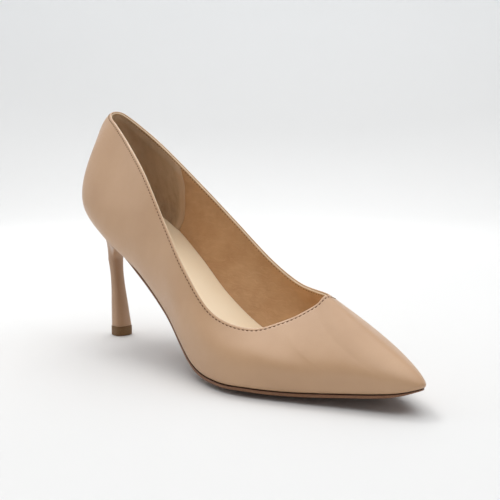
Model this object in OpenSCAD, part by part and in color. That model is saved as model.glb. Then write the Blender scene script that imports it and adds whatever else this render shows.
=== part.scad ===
// High heel pump for the right foot: a pointed toe court shoe on a slim flared heel.
// Every piece that the shoe is lasted, nailed and cemented from is a node of its own.
//
// Working frame: x runs from the heel (0) to the toe, the inner side of the foot is +y,
// the ground is z = 0. The last lines move everything so that the origin is under the
// middle of the shoe. Lengths are in millimetres.
//
// The upper follows a skin made of ribs. A rib is one Bezier curve that starts on the
// sole edge (v = 0) and ends on the topline (v = 1). The ribs go once round the shoe:
// u = 0 at the back of the heel, 11 at the toe, 22 at the heel again.

/* [Overall size] */
// Length of the sole edge, from the heel to the toe tip
shoe_l = 240; // [230:1:250]
// Width of the sole edge across the ball of the foot
ball_w = 77; // [73:1:81]
// Height of the sole edge at the back of the heel
heel_h = 81.5; // [78:0.5:85]
// Height of the topline above the sole edge, as a share of the drawn one
top_share = 1; // [0.9:0.02:1.1]

/* [Leather and lining] */
// Thickness of the upper leather
upper_t = 1; // [0.9:0.1:1.2]
// Thickness of the lining leather
lining_t = 0.7; // [0.6:0.05:0.8]
// Width of the margin that is lasted under the insole
margin_w = 10; // [8:0.5:11]
// Thickness of the suede heel grip
grip_t = 0.9; // [0.6:0.1:1.1]
// Full thickness of the heel counter
counter_t = 1; // [0.6:0.1:1.2]
// Full thickness of the toe puff
puff_t = 0.8; // [0.5:0.1:1]

/* [Topline stitching] */
// Distance of the stitches from the topline
stitch_inset = 1.1; // [1:0.1:1.8]
// Length from one stitch to the next
stitch_pitch = 2.2; // [2:0.1:3]
// Length of one visible stitch
stitch_l = 1.3; // [1.1:0.1:1.6]
// Width of the thread
thread_w = 0.35; // [0.3:0.05:0.5]

/* [Bottom stack] */
// Thickness of the insole board
insole_t = 1.4; // [1.2:0.1:1.8]
// Thickness of the foam under the sock lining
foam_t = 0.6; // [0.4:0.1:1]
// Thickness of the sock lining
sock_t = 0.6; // [0.5:0.1:0.9]
// Width of the steel shank spring
shank_w = 11; // [9:0.5:12]
// Thickness of the outsole under the ball of the foot
sole_t = 1.6; // [1.5:0.1:2]
// Thickness of the outsole at the waist
waist_sole_t = 1.3; // [1:0.1:1.5]
// How far the middle of the tread bulges below the sole edge
crown_h = 3; // [2.8:0.1:3.3]

/* [Heel] */
// Height of the top lift
lift_h = 6; // [5:0.5:8]
// Half width of the heel at its slimmest
stem_r = 4; // [3.9:0.1:4.5]
// Half width of the heel at the top lift
foot_r = 5.8; // [5.6:0.1:6.8]
// Thickness of the leather cover on the heel
cover_t = 0.7; // [0.6:0.05:0.8]
// Outer radius of the steel tube in the heel
tube_r = 2; // [1.8:0.05:2.1]
// Radius of the top lift's pin
pin_r = 1.1; // [1:0.05:1.2]
// Radius of the heel nails
nail_r = 0.8; // [0.6:0.05:0.9]

/* [Hidden] */

// Side view of the sole line: [x, z]
sole_line = [
    [0, 81.5], [20, 74], [45, 61.6], [70, 48], [95, 30.3], [115, 15.8], [133, 6.5],
    [150, 4.5], [165, 4.8], [190, 6], [215, 7.5], [232, 10], [240, 12.5]
];
// Plan of the sole edge: [x, outer y, inner y], one row for each rib from heel to toe
sole_edge = [
    [3, 0, 0], [6, -13, 13], [19, -23, 22], [43, -27, 25], [72, -26, 20], [101, -28.3, 18],
    [131, -37, 27], [159, -40, 37], [186, -30, 34], [211, -18, 21], [232, -8.5, 9.5], [240, 0, 0]
];
// Topline on the outer side: [x, y, height above the sole line]
topline_outer = [
    [10, 0, 62.5], [17.1, -6.3, 61.5], [29.1, -11.5, 62.2], [47, -16.2, 60], [73, -23.4, 55.7], [96, -28, 47.2],
    [118, -32.6, 40.6], [141, -34.6, 31.1], [161, -28.5, 25.8], [173.5, -17, 29.4], [182, -6, 35.6],
    [184, 0, 40]
];
// Topline on the inner side
topline_inner = [
    [10, 0, 62.5], [14, 6.9, 63], [29.7, 14.5, 57.7], [46, 17, 54.6], [71, 22, 48], [95, 27.5, 44.2],
    [119, 32, 41], [139, 33.5, 38.2], [163, 27.5, 36.4], [173.5, 18, 36], [182, 8.5, 38.4], [184, 0, 40]
];
// How each rib leaves its ends: [lean at the sole, lean at the topline, reach up, reach down]
rib_lean = [
    [42, 55, 18, 15.5], [42, 44, 18, 14], [40, 27, 18, 27], [38, 17.5, 17, 20], [38, 16, 16, 18],
    [34, 18, 14, 15], [22, 22, 14, 14], [14, 32, 14, 14], [10, 47.5, 13.5, 17], [6, 53, 11, 27],
    [4, 55.5, 8.7, 37], [2, 61, 5.6, 38]
];
// Heel below its seat: [z, centre x, reach back, reach forward, half width]
heel_rings = [
    [lift_h + 0.05, 16, foot_r + 0.5, foot_r, foot_r],
    [12, 15.2, foot_r - 0.1, foot_r - 0.4, foot_r - 0.4],
    [20, 14.3, 5.15, 4.9, 4.9],
    [31, 13, stem_r + 0.25, stem_r + 0.15, stem_r + 0.15],
    [41, 11.7, stem_r + 0.1, stem_r - 0.1, stem_r],
    [48, 11, stem_r + 0.9, stem_r, stem_r + 0.5]
];

// The drawn sizes that the lists above belong to
drawn_l = 240;
drawn_ball_w = 77;
drawn_heel_h = 81.5;
tread_z = 4.5;
len_k = shoe_l / drawn_l;
wide_k = ball_w / drawn_ball_w;
rise_k = (heel_h - tread_z) / (drawn_heel_h - tread_z);

ribs = 22;
toe_rib = 11;
steps_per_rib = 3;
// Heights at which every layer of the upper has its points
wall_v = [0, 0.05, 0.12, 0.22, 0.34, 0.46, 0.58, 0.7, 0.8, 0.88, 0.94, 1];
// Stations round the shoe that every layer shares
loop_u = [for (k = [0 : ribs * steps_per_rib - 1]) k / steps_per_rib];

// Layers of the upper, as depths below its outer face
glue_gap = 0.05;
tape_t = 0.2;
tape_depth = upper_t + 0.08;
stiffener_depth = upper_t + 0.3;
stiffener_edge_t = 0.12;
lining_depth = stiffener_depth + stiffener_edge_t + 0.14;

// Layers of the bottom, as distances above the sole line
lining_margin_z = upper_t + 0.2;
insole_z = lining_margin_z + lining_t + 0.23;
foam_z = insole_z + insole_t + glue_gap;
sock_z = foam_z + foam_t + glue_gap;
spring_z = 0.1;
spring_t = 1;
shank_board_z = spring_z + spring_t + 0.15;
shank_board_t = 0.6;
filler_z = 0.15;
filler_t = 1.7;
outsole_drop = 0.3;
seat_drop = 0.1;
board_inset = 3;
tip_inset = 3.2;
cavity_inset = margin_w + 1.5;

// Breast of the heel, where the outsole ends
breast_x = 46;
breast_bow = 0.6;
shank_y = -3.5;
shank_from = 28;
shank_to = 122;
rivet_x = [40, 112];
rivet_r = 1.5;
nail_at = [[17, -7], [17, 7], [27, -11], [27, 11]];
nail_l = 10;
screw_x = 21;
screw_l = 12;
screw_r = 1.6;
screw_head_r = 2.8;
screw_head_h = 1.3;
// The steel tube leans with the heel
tube_foot = [15.9, 0, lift_h + 1];
tube_tilt = -6.8;
tube_l = 53;
pin_l = 20;
running_gap = 0.03;

// ---- curves -------------------------------------------------------------------------

function ramp(t) = let (c = min(1, max(0, t))) c * c * (3 - 2 * c);

function line_slope(k) =
    let (a = sole_line[max(k - 1, 0)], b = sole_line[min(k + 1, len(sole_line) - 1)])
    (b[1] - a[1]) / (b[0] - a[0]);

function line_span(x, k = 0) = k >= len(sole_line) - 2 || x < sole_line[k + 1][0] ? k : line_span(x, k + 1);

// Height of the drawn sole line at x
function drawn_line(x) =
    let (k = line_span(x), a = sole_line[k], b = sole_line[k + 1], h = b[0] - a[0], t = (x - a[0]) / h)
    (2 * t ^ 3 - 3 * t ^ 2 + 1) * a[1] + (t ^ 3 - 2 * t ^ 2 + t) * h * line_slope(k)
    + (3 * t ^ 2 - 2 * t ^ 3) * b[1] + (t ^ 3 - t ^ 2) * h * line_slope(k + 1);

// The bottom bulges downwards under the ball of the foot
function crown(x, y) =
    crown_h * ramp((x - 105) / 40) * ramp((215 - x) / 50) * max(0, 1 - (y / 38) ^ 2);

function line_z(x) = tread_z + (drawn_line(x / len_k) - tread_z) * rise_k;

// Height of the sole line at any point of the plan
function sole_z(x, y) = line_z(x) - crown(x / len_k, y / wide_k);

// Angle by which the sole line drops towards the toe at x
function sole_tilt(x) = atan(line_z(x - 0.5) - line_z(x + 0.5));

// Point at a square distance d above the sole line
function over_sole(p, d) = [p[0], p[1], sole_z(p[0], p[1]) + d / cos(sole_tilt(p[0]))];

// ---- the skin of the upper ----------------------------------------------------------

function rib_row(edge, side_y, top, lean) =
    let (x = top[0] * len_k)
    concat(
        [edge[0] * len_k, side_y * wide_k, x, top[1] * wide_k, line_z(x) + top[2] * top_share],
        lean
    );

rib_rows = [
    for (k = [0 : toe_rib]) rib_row(sole_edge[k], sole_edge[k][1], topline_outer[k], rib_lean[k]),
    for (k = [toe_rib - 1 : -1 : 1]) rib_row(sole_edge[k], sole_edge[k][2], topline_inner[k], rib_lean[k])
];

// Row of rib values and how it changes along u
function blend_rows(u) =
    let (
        i = floor(u),
        t = u - i,
        a = rib_rows[(i + ribs - 1) % ribs],
        b = rib_rows[(i + ribs) % ribs],
        c = rib_rows[(i + 1) % ribs],
        d = rib_rows[(i + 2) % ribs],
        k1 = c - a,
        k2 = 2 * a - 5 * b + 4 * c - d,
        k3 = 3 * b - a - 3 * c + d
    )
    [b + (k1 * t + k2 * t ^ 2 + k3 * t ^ 3) / 2, (k1 + 2 * k2 * t + 3 * k3 * t ^ 2) / 2];

function wrap_u(u) = u < 0 ? u + ribs : u >= ribs ? u - ribs : u;

function outward(slope) = [slope[1], -slope[0]] / norm(slope);

// The four control points of the rib at u
function rib(u) =
    let (
        rows = blend_rows(wrap_u(u)),
        r = rows[0],
        out_sole = outward([rows[1][0], rows[1][1]]),
        out_top = outward([rows[1][2], rows[1][3]]),
        foot = [r[0], r[1], sole_z(r[0], r[1])],
        top = [r[2], r[3], r[4]]
    )
    [
        foot,
        foot + r[7] * [sin(r[5]) * out_sole[0], sin(r[5]) * out_sole[1], cos(r[5])],
        top + r[8] * [sin(r[6]) * out_top[0], sin(r[6]) * out_top[1], -cos(r[6])],
        top
    ];

function on_rib(p, v) =
    (1 - v) ^ 3 * p[0] + 3 * v * (1 - v) ^ 2 * p[1] + 3 * v ^ 2 * (1 - v) * p[2] + v ^ 3 * p[3];

function rib_slope(p, v) =
    (1 - v) ^ 2 * (p[1] - p[0]) + 2 * v * (1 - v) * (p[2] - p[1]) + v ^ 2 * (p[3] - p[2]);

// A rib with its neighbours, from which the direction across the skin is found
function rib_group(u) = [rib(u), rib(u + 0.01), rib(u - 0.01)];

function skin_normal(group, v) =
    let (n = cross(on_rib(group[1], v) - on_rib(group[2], v), rib_slope(group[0], v))) n / norm(n);

// Point at a depth below the outer face of the upper
function skin(group, v, depth = 0) = on_rib(group[0], v) - depth * skin_normal(group, v);

// Keeps a point at least d above the sole line
function lift_to(p, d) = [p[0], p[1], max(p[2], over_sole(p, d)[2])];

// Sole edge at u, moved inwards in plan
function edge_inset(u, d) =
    let (rows = blend_rows(wrap_u(u)), out = outward([rows[1][0], rows[1][1]]))
    [rows[0][0] - d * out[0], rows[0][1] - d * out[1]];

// Inner end of the lasting margin at u: it points to the middle line of the shoe
function margin_end(u, w) =
    let (
        e = edge_inset(u, 0),
        middle = [min(max(e[0], 26), 214 * len_k), 0],
        way = middle - e
    )
    e + way * min(w, 0.6 * norm(way)) / norm(way);

// ---- meshes -------------------------------------------------------------------------

function flat_list(rings) = [for (ring = rings) each ring];

// Triangles between rings of n points; closed joins the last ring to the first. From point
// other_from of each ring the diagonals run the other way, so that both faces of a sheet
// are split alike and sheets that touch lie flat on each other.
function side_faces(count, n, closed, other_from) = [
    for (i = [0 : count - (closed ? 1 : 2)], j = [0 : n - 1])
        let (
            a = i * n + j,
            b = i * n + (j + 1) % n,
            c = ((i + 1) % count) * n + (j + 1) % n,
            d = ((i + 1) % count) * n + j
        )
        each (j >= other_from ? [[a, b, d], [b, c, d]] : [[a, b, c], [a, c, d]])
];

// Strips that close a ring by joining point j with point (last - j)
function strip_faces(base, n, last) = [
    for (j = [0 : floor(last / 2) - 1])
        let (a = base + j, b = base + j + 1, c = base + (last - j - 1) % n, d = base + (last - j) % n)
        each [if (a != d) [a, b, d], if (b != c) [b, c, d]]
];

function turned(faces) = [for (f = faces) [f[2], f[1], f[0]]];

function half_ring(n) = (n - 1) / 2;

// Solid that runs right round the shoe
module loop_solid(rings) {
    n = len(rings[0]);
    polyhedron(flat_list(rings), side_faces(len(rings), n, true, half_ring(n)));
}

// Solid with two ends, closed by strips
module open_solid(rings, last, other_from) {
    n = len(rings[0]);
    count = len(rings);
    polyhedron(
        flat_list(rings),
        concat(
            side_faces(count, n, false, other_from),
            turned(strip_faces(0, n, last)),
            strip_faces((count - 1) * n, n, last)
        )
    );
}

// Sheet between two depths of the skin, from station k0 to station k1
module skin_patch(k0, k1, v_list, outer_depth, inner_depth) {
    rings = [
        for (k = [k0 : k1])
            let (u = k / steps_per_rib, group = rib_group(u))
            concat(
                [for (v = v_list) skin(group, v, outer_depth(u, v))],
                [for (j = [len(v_list) - 1 : -1 : 0]) skin(group, v_list[j], inner_depth(u, v_list[j]))]
            )
    ];
    open_solid(rings, len(rings[0]) - 1, half_ring(len(rings[0])));
}

// Board that lies on the sole line between the outlines left and right, both listed from
// heel to toe, with its faces at the distances low(x) and high(x)
module sole_board(left, right, low, high) {
    across = [0, 0.25, 0.5, 0.75, 1];
    rings = [
        for (k = [0 : len(left) - 1])
            let (row = [for (c = across) left[k] * (1 - c) + right[k] * c])
            concat(
                [for (p = row) over_sole(p, high(p[0]))],
                [for (j = [len(row) - 1 : -1 : 0]) over_sole(row[j], low(row[j][0]))]
            )
    ];
    open_solid(rings, len(rings[0]) - 1, half_ring(len(rings[0])));
}

function edge_point(u, inset) = edge_inset(u, inset(edge_inset(u, 0)[0]));

// Both outlines of a board that follows the sole edge at the stations listed, at the
// distance inset(x) inside it
function edge_pair(stations, inset) = [
    [for (k = stations) edge_point(k / steps_per_rib, inset)],
    [for (k = stations) edge_point(ribs - k / steps_per_rib, inset)]
];

// Stands a child square on the sole line at x, at the distance d above it
module on_sole(x, y, d)
    translate(over_sole([x, y], 0))
        rotate([0, sole_tilt(x), 0])
            translate([0, 0, d])
                children();

// ---- upper --------------------------------------------------------------------------

// Extra room that the counter and the puff take below the upper leather
function counter_at(u, v) =
    counter_t * ramp((4.6 - min(u, ribs - u)) / 1.2) * ramp((v - 0.04) / 0.16) * ramp((0.82 - v) / 0.2);

function puff_at(u, v) =
    puff_t * ramp((2.9 - abs(u - toe_rib)) / 1.2) * ramp((v - 0.04) / 0.16) * ramp((0.5 - v) / 0.16);

function stiffening(u, v) = counter_at(wrap_u(u), v) + puff_at(wrap_u(u), v);

function lining_at(u, v) =
    tape_depth + (lining_depth - tape_depth) * min(1, (1 - v) / 0.06) + stiffening(u, v);

function grip_at(u, v) = lining_at(u, v) + lining_t + 0.02;

module upper() color("#c8a684") {
    fold_h = 0.35;
    loop_solid([
        for (u = loop_u)
            let (group = rib_group(u), end = margin_end(u, margin_w), rim_in = skin(group, 1, upper_t))
            concat(
                [for (v = wall_v) skin(group, v)],
                [(skin(group, 1) + rim_in) / 2 + [0, 0, fold_h]],
                [for (j = [len(wall_v) - 1 : -1 : 0]) lift_to(skin(group, wall_v[j], upper_t), upper_t / 2)],
                [over_sole(margin_end(u, 2.5), upper_t), over_sole(end, upper_t), over_sole(end, 0)]
            )
    ]);
}

module lining() color("#a97d55")
    loop_solid([
        for (u = loop_u)
            let (group = rib_group(u), end = margin_end(u, margin_w))
            concat(
                [for (v = wall_v) lift_to(skin(group, v, lining_at(u, v)), lining_margin_z)],
                [
                    for (j = [len(wall_v) - 1 : -1 : 0])
                        lift_to(
                            skin(group, wall_v[j], lining_at(u, wall_v[j]) + lining_t),
                            lining_margin_z + lining_t
                        )
                ],
                [over_sole(end, lining_margin_z + lining_t), over_sole(end, lining_margin_z)]
            )
    ]);

module heel_grip() color("#8d7660")
    skin_patch(
        -10, 10, [0.12, 0.22, 0.34, 0.46, 0.58, 0.7, 0.8, 0.88, 0.94],
        function (u, v) grip_at(u, v),
        function (u, v) grip_at(u, v) + grip_t
    );

module toe_puff() color("#d9d2c2")
    skin_patch(
        26, 40, [0.12, 0.22, 0.34, 0.46],
        function (u, v) stiffener_depth,
        function (u, v) stiffener_depth + stiffener_edge_t + stiffening(u, v)
    );

module heel_counter() color("#b9ae98")
    skin_patch(
        -13, 13, [0.05, 0.12, 0.22, 0.34, 0.46, 0.58, 0.7, 0.8],
        function (u, v) stiffener_depth,
        function (u, v) stiffener_depth + stiffener_edge_t + stiffening(u, v)
    );

module topline_tape() color("white")
    loop_solid([
        for (u = loop_u)
            let (group = rib_group(u))
            [
                skin(group, 0.88, tape_depth),
                skin(group, 0.94, tape_depth),
                skin(group, 0.94, tape_depth + tape_t),
                skin(group, 0.88, tape_depth + tape_t)
            ]
    ]);

// Where the stitch line crosses the flat panel between the last two heights of the wall
function stitch_point(group) =
    let (
        v0 = wall_v[len(wall_v) - 2],
        top = skin(group, 1),
        way = skin(group, v0) - top
    )
    top + way * stitch_inset / norm(way);

module topline_thread() color("#5c3d24")
    for (u = loop_u) {
        group_a = rib_group(u);
        group_b = rib_group(u + 1 / steps_per_rib);
        a = stitch_point(group_a);
        b = stitch_point(group_b);
        count = max(1, round(norm(b - a) / stitch_pitch));
        along = (b - a) / norm(b - a);
        n = skin_normal(group_a, 0.97) + skin_normal(group_b, 0.97);
        square_out = n - along * (n * along);
        out = square_out / norm(square_out);
        side = cross(out, along);
        for (k = [0 : count - 1]) {
            p = a + (b - a) * (k + 0.5) / count + out * (thread_w / 2 + 0.08);
            multmatrix([
                [along[0], side[0], out[0], p[0]],
                [along[1], side[1], out[1], p[1]],
                [along[2], side[2], out[2], p[2]],
                [0, 0, 0, 1]
            ])
                cube([stitch_l, thread_w, thread_w * 0.7], center = true);
        }
    }

// ---- bottom -------------------------------------------------------------------------

module rivet_holes(r)
    for (x = rivet_x)
        on_sole(x, shank_y, -1)
            cylinder(r = r, h = insole_z + insole_t + 2, $fn = 32);

module nail_holes(r)
    for (p = nail_at)
        translate(over_sole(p, insole_z + insole_t - nail_l))
            cylinder(r = r, h = nail_l + 2, $fn = 32);

// The heel screw with its countersunk head, and the height of the rim on that head
module screw_shape(gap, rim_h)
    on_sole(screw_x, 0, insole_z + insole_t - 0.25 - screw_l)
        union() {
            cylinder(r = screw_r + gap, h = screw_l, $fn = 32);
            translate([0, 0, screw_l - screw_head_h])
                cylinder(r1 = screw_r + gap, r2 = screw_head_r + gap, h = screw_head_h, $fn = 32);
            translate([0, 0, screw_l])
                cylinder(r = screw_head_r + gap, h = rim_h, $fn = 32);
        }

module insole_board() color("#a58a66")
    difference() {
        outline = full_board();
        sole_board(outline[0], outline[1], function (x) insole_z, function (x) insole_z + insole_t);
        rivet_holes(rivet_r + running_gap);
        nail_holes(nail_r + running_gap);
        screw_shape(running_gap, 2);
    }

// The boards that fill the shoe from heel to toe stop short of the narrow toe tip
function full_board() = edge_pair(
    [0.3, each [1 : 31]],
    function (x) board_inset + tip_inset * ramp((x / len_k - 212) / 24)
);

function shank_sides(half_w, x0, x1) = [
    for (side = [-1, 1])
        [for (x = [x0 : (x1 - x0) / 12 : x1 + 0.01]) [x, shank_y + side * half_w]]
];

module shank_board() color("#8a6f4d")
    difference() {
        outline = shank_sides(shank_w / 2 + 1, shank_from - 1, shank_to + 4);
        sole_board(
            outline[0], outline[1],
            function (x) shank_board_z, function (x) shank_board_z + shank_board_t
        );
        rivet_holes(rivet_r + running_gap);
    }

module shank_spring() color("#9aa0a6")
    difference() {
        outline = shank_sides(shank_w / 2, shank_from, shank_to);
        sole_board(outline[0], outline[1], function (x) spring_z, function (x) spring_z + spring_t);
        rivet_holes(rivet_r + running_gap);
    }

module shank_rivets() color("#b8bcc0")
    for (x = rivet_x)
        on_sole(x, shank_y, spring_z)
            cylinder(r = rivet_r, h = insole_z + insole_t - spring_z - 0.1, $fn = 32);

module bottom_filler() color("#6b5a45") {
    outline = edge_pair([19 : 28], function (x) cavity_inset);
    sole_board(outline[0], outline[1], function (x) filler_z, function (x) filler_z + filler_t);
}

module sock_foam() color("#e6dfc8") {
    outline = full_board();
    sole_board(outline[0], outline[1], function (x) foam_z, function (x) foam_z + foam_t);
}

module sock_lining() color("#e8d0af") {
    outline = full_board();
    sole_board(outline[0], outline[1], function (x) sock_z, function (x) sock_z + sock_t);
}

// The sole edge is flush along the forepart and the waist, and tucked in at the tip and the heel seat
function sole_inset(x) = 0.4 - 0.45 * ramp((140 - x) / 30) + 0.35 * ramp((110 - x) / 20)
    + 3 * ramp((72 - x) / 25) + 0.6 * ramp((x - 226) / 12);

function outsole_t(x) =
    waist_sole_t + (sole_t - waist_sole_t) * ramp((x - 95) / 45) - 0.3 * ramp((x - 195) / 45);

module outsole() color("#6f4a31") {
    outline = edge_pair([9.5, each [10 : 32], 32.7], function (x) sole_inset(x));
    difference() {
        sole_board(
            outline[0], outline[1],
            function (x) -outsole_drop - outsole_t(x), function (x) -outsole_drop
        );
        translate([shoe_l / 2 - 200, -100, -20])
            cube([400, 200, 20]);
    }
}

// ---- heel ---------------------------------------------------------------------------

ring_n = 32;
seat_share = 11;

// Section of the heel at one ring, cut in by t: round at the back, flatter at the breast
function heel_section(ring, t) = [
    for (i = [0 : ring_n - 1])
        let (
            angle = 180 - 360 * i / ring_n,
            c = cos(angle),
            reach = c < 0 ? -(ring[2] - t) * abs(c) : (ring[3] - t) * abs(c) ^ 0.5
        )
        [ring[1] + reach, (ring[4] - t) * sin(angle), ring[0]]
];

breast_u = 3.1;

// Plan of the heel's seat: along the sole edge to the breast, then across
function seat_point(i, t) =
    let (
        k = i > ring_n / 2 ? ring_n - i : i,
        u = breast_u * min(1, k / seat_share),
        corner = edge_inset(i > ring_n / 2 ? u : ribs - u, 1.2 + t),
        j = max(0, k - seat_share) / (ring_n / 2 - seat_share)
    )
    k <= seat_share ? corner : [breast_x - t + breast_bow * (1 - (1 - j) ^ 2), corner[1] * (1 - j)];

function seat_ring(t, d) = [for (i = [0 : ring_n - 1]) over_sole(seat_point(i, t), d)];

// The heel spreads like a trumpet from its last section to the rim of the seat
function flare_rings(t) =
    let (
        low = heel_section(heel_rings[len(heel_rings) - 1], t),
        rim = seat_ring(t, -seat_drop - 1 + t)
    )
    [
        for (s = [0.16, 0.32, 0.48, 0.64, 0.8, 0.92, 1])
            [
                for (i = [0 : ring_n - 1])
                    let (
                        a = low[i],
                        d = rim[i],
                        rise = d[2] - a[2],
                        b = a + [0, 0, 0.62 * rise],
                        c = [d[0] * 0.62 + a[0] * 0.38, d[1] * 0.62 + a[1] * 0.38, d[2] - 0.1 * rise]
                    )
                    on_rib([a, b, c, d], s)
            ]
    ];

function heel_body(t) =
    concat([for (ring = heel_rings) heel_section(ring, t)], flare_rings(t), [seat_ring(t, -seat_drop)]);

module along_tube(from, length, r)
    translate(tube_foot)
        rotate([0, tube_tilt, 0])
            translate([0, 0, from])
                cylinder(r = r, h = length, $fn = 48);

module heel_block() color("#efe6d2")
    difference() {
        open_solid(heel_body(cover_t + glue_gap), ring_n, 0);
        along_tube(-4, tube_l + 4.2, tube_r + running_gap);
        nail_holes(nail_r + running_gap);
        screw_shape(running_gap, 2);
    }

// The leather sleeve between the outside of the heel and its block
module heel_cover() color("#c2a080") {
    outer = heel_body(0);
    inner = heel_body(cover_t);
    loop_solid([
        for (i = [0 : ring_n - 1])
            concat(
                [for (k = [len(outer) - 1 : -1 : 0]) outer[k][i]],
                [for (ring = inner) ring[i]]
            )
    ]);
}

module heel_tube() color("#8f959b")
    difference() {
        along_tube(0, tube_l, tube_r);
        along_tube(-1, tube_l + 2, pin_r + running_gap);
    }

module heel_nails() color("#a9adb1")
    for (p = nail_at) {
        top = over_sole(p, insole_z + insole_t - 0.5);
        translate(top - [0, 0, nail_l - 1.5])
            cylinder(r = nail_r, h = nail_l - 1.5, $fn = 32);
    }

module heel_screw() color("#a9adb1")
    screw_shape(0, 0.2);

module top_lift() color("#5b4128")
    difference() {
        linear_extrude(lift_h)
            polygon([for (p = heel_section(heel_rings[0], -0.2)) [p[0], p[1]]]);
        along_tube(-4, 20, pin_r + running_gap);
    }

module top_lift_pin() color("#8f959b")
    along_tube(-3.5, pin_l, pin_r);

// ---- placing ------------------------------------------------------------------------

// Middle of the whole shoe in plan, from the skin's own points
skin_points = [for (u = loop_u) let (group = rib_group(u)) each [for (v = wall_v) skin(group, v)]];
skin_x = [for (p = skin_points) p[0]];
skin_y = [for (p = skin_points) p[1]];
origin = [(min(skin_x) + max(skin_x)) / 2, (min(skin_y) + max(skin_y)) / 2, 0];

translate(-origin) {
    upper();
    lining();
    heel_grip();
    toe_puff();
    heel_counter();
    topline_tape();
    topline_thread();
    insole_board();
    shank_board();
    shank_spring();
    shank_rivets();
    bottom_filler();
    sock_foam();
    sock_lining();
    outsole();
    heel_block();
    heel_cover();
    heel_tube();
    heel_nails();
    heel_screw();
    top_lift();
    top_lift_pin();
}
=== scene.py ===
# High heel pump, right foot: the visible leather, suede and rubber pieces in full detail
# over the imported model. Shapes are worked out in millimetres in the shoe's own drawing
# frame (x from heel to toe, +y the inner side) and moved to the row frame at the end.
import math

import bmesh
import bpy
import numpy as np
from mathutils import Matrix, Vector


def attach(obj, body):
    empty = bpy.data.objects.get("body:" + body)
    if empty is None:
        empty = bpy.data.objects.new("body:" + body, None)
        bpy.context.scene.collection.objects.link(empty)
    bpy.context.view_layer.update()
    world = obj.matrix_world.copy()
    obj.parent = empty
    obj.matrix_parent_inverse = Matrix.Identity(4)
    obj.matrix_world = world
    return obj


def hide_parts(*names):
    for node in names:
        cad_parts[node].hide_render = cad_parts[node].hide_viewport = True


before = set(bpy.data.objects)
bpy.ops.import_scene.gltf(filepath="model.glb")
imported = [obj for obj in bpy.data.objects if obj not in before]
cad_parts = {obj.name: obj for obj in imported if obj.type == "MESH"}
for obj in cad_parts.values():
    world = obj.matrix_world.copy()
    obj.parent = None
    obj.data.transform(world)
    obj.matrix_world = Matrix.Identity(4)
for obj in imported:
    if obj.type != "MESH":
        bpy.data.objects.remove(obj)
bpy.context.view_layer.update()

# ---- the drawn lines of the shoe, as in the CAD ---------------------------------------

# x and height of the sole line in side view
SOLE_LINE = np.array([
    [0, 81.5], [20, 74], [45, 61.6], [70, 48], [95, 30.3], [115, 15.8], [133, 6.5],
    [150, 4.5], [165, 4.8], [190, 6], [215, 7.5], [232, 10], [240, 12.5],
])
# at each rib from the back to the tip: x of the sole edge, y on the outer and the inner side
SOLE_EDGE = np.array([
    [3, 0, 0], [6, -13, 13], [19, -23, 22], [43, -27, 25], [72, -26, 20], [101, -28.3, 18],
    [131, -37, 27], [159, -40, 37], [186, -30, 34], [211, -18, 21], [232, -8.5, 9.5], [240, 0, 0],
])
# x and y of the topline at each rib, and its height over the sole line
TOPLINE_OUTER = np.array([
    [10, 0, 62.5], [17.1, -6.3, 61.5], [29.1, -11.5, 62.2], [47, -16.2, 60], [73, -23.4, 55.7],
    [96, -28, 47.2], [118, -32.6, 40.6], [141, -34.6, 31.1], [161, -28.5, 25.8], [173.5, -17, 29.4],
    [182, -6, 35.6], [184, 0, 40],
])
TOPLINE_INNER = np.array([
    [10, 0, 62.5], [14, 6.9, 63], [29.7, 14.5, 57.7], [46, 17, 54.6], [71, 22, 48], [95, 27.5, 44.2],
    [119, 32, 41], [139, 33.5, 38.2], [163, 27.5, 36.4], [173.5, 18, 36], [182, 8.5, 38.4], [184, 0, 40],
])
# outward lean of the wall at the sole and at the topline (degrees), and how far each one reaches
RIB_LEAN = np.array([
    [42, 55, 18, 15.5], [42, 44, 18, 14], [40, 27, 18, 27], [38, 17.5, 17, 20], [38, 16, 16, 18],
    [34, 18, 14, 15], [22, 22, 14, 14], [14, 32, 14, 14], [10, 47.5, 13.5, 17], [6, 53, 11, 27],
    [4, 55.5, 8.7, 37], [2, 61, 5.6, 38],
])
# height of a heel section, x of its middle, its reach to the back and the front, half its width
HEEL_RINGS = np.array([
    [6.05, 16, 6.3, 5.8, 5.8], [12, 15.2, 5.7, 5.4, 5.4], [20, 14.3, 5.15, 4.9, 4.9],
    [31, 13, 4.25, 4.15, 4.15], [41, 11.7, 4.1, 3.9, 4], [48, 11, 4.9, 4, 4.5],
])
RIBS = 22
TOE_RIB = 11
CROWN_H = 3
UPPER_T = 1.0
LINING_T = 0.7
MARGIN_W = 10
GRIP_T = 0.9
COUNTER_T = 1.0
PUFF_T = 0.8
TAPE_DEPTH = UPPER_T + 0.08
TAPE_T = 0.3
LINING_DEPTH = UPPER_T + TAPE_T + 0.26
LINING_MARGIN_Z = UPPER_T + 0.2
INSOLE_T, FOAM_T, GLUE_GAP = 1.4, 0.6, 0.05
SOCK_Z = LINING_MARGIN_Z + LINING_T + 0.23 + INSOLE_T + FOAM_T + 2 * GLUE_GAP
SOCK_T = 0.6
OUTSOLE_DROP = 0.3
OUTSOLE_T, OUTSOLE_WAIST_T = 1.6, 1.3
SEAT_DROP = 0.1
COVER_T = 0.7
BREAST_X = 46
BREAST_BOW = 0.6
BREAST_U = 3.1
LIFT_H = 6
STITCH_INSET = 1.1
STITCH_PITCH = 2.2
STITCH_L = 1.1
THREAD_R = 0.22


def ramp(t):
    """A smooth step from 0 to 1."""
    c = np.clip(t, 0, 1)
    return c * c * (3 - 2 * c)


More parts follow.
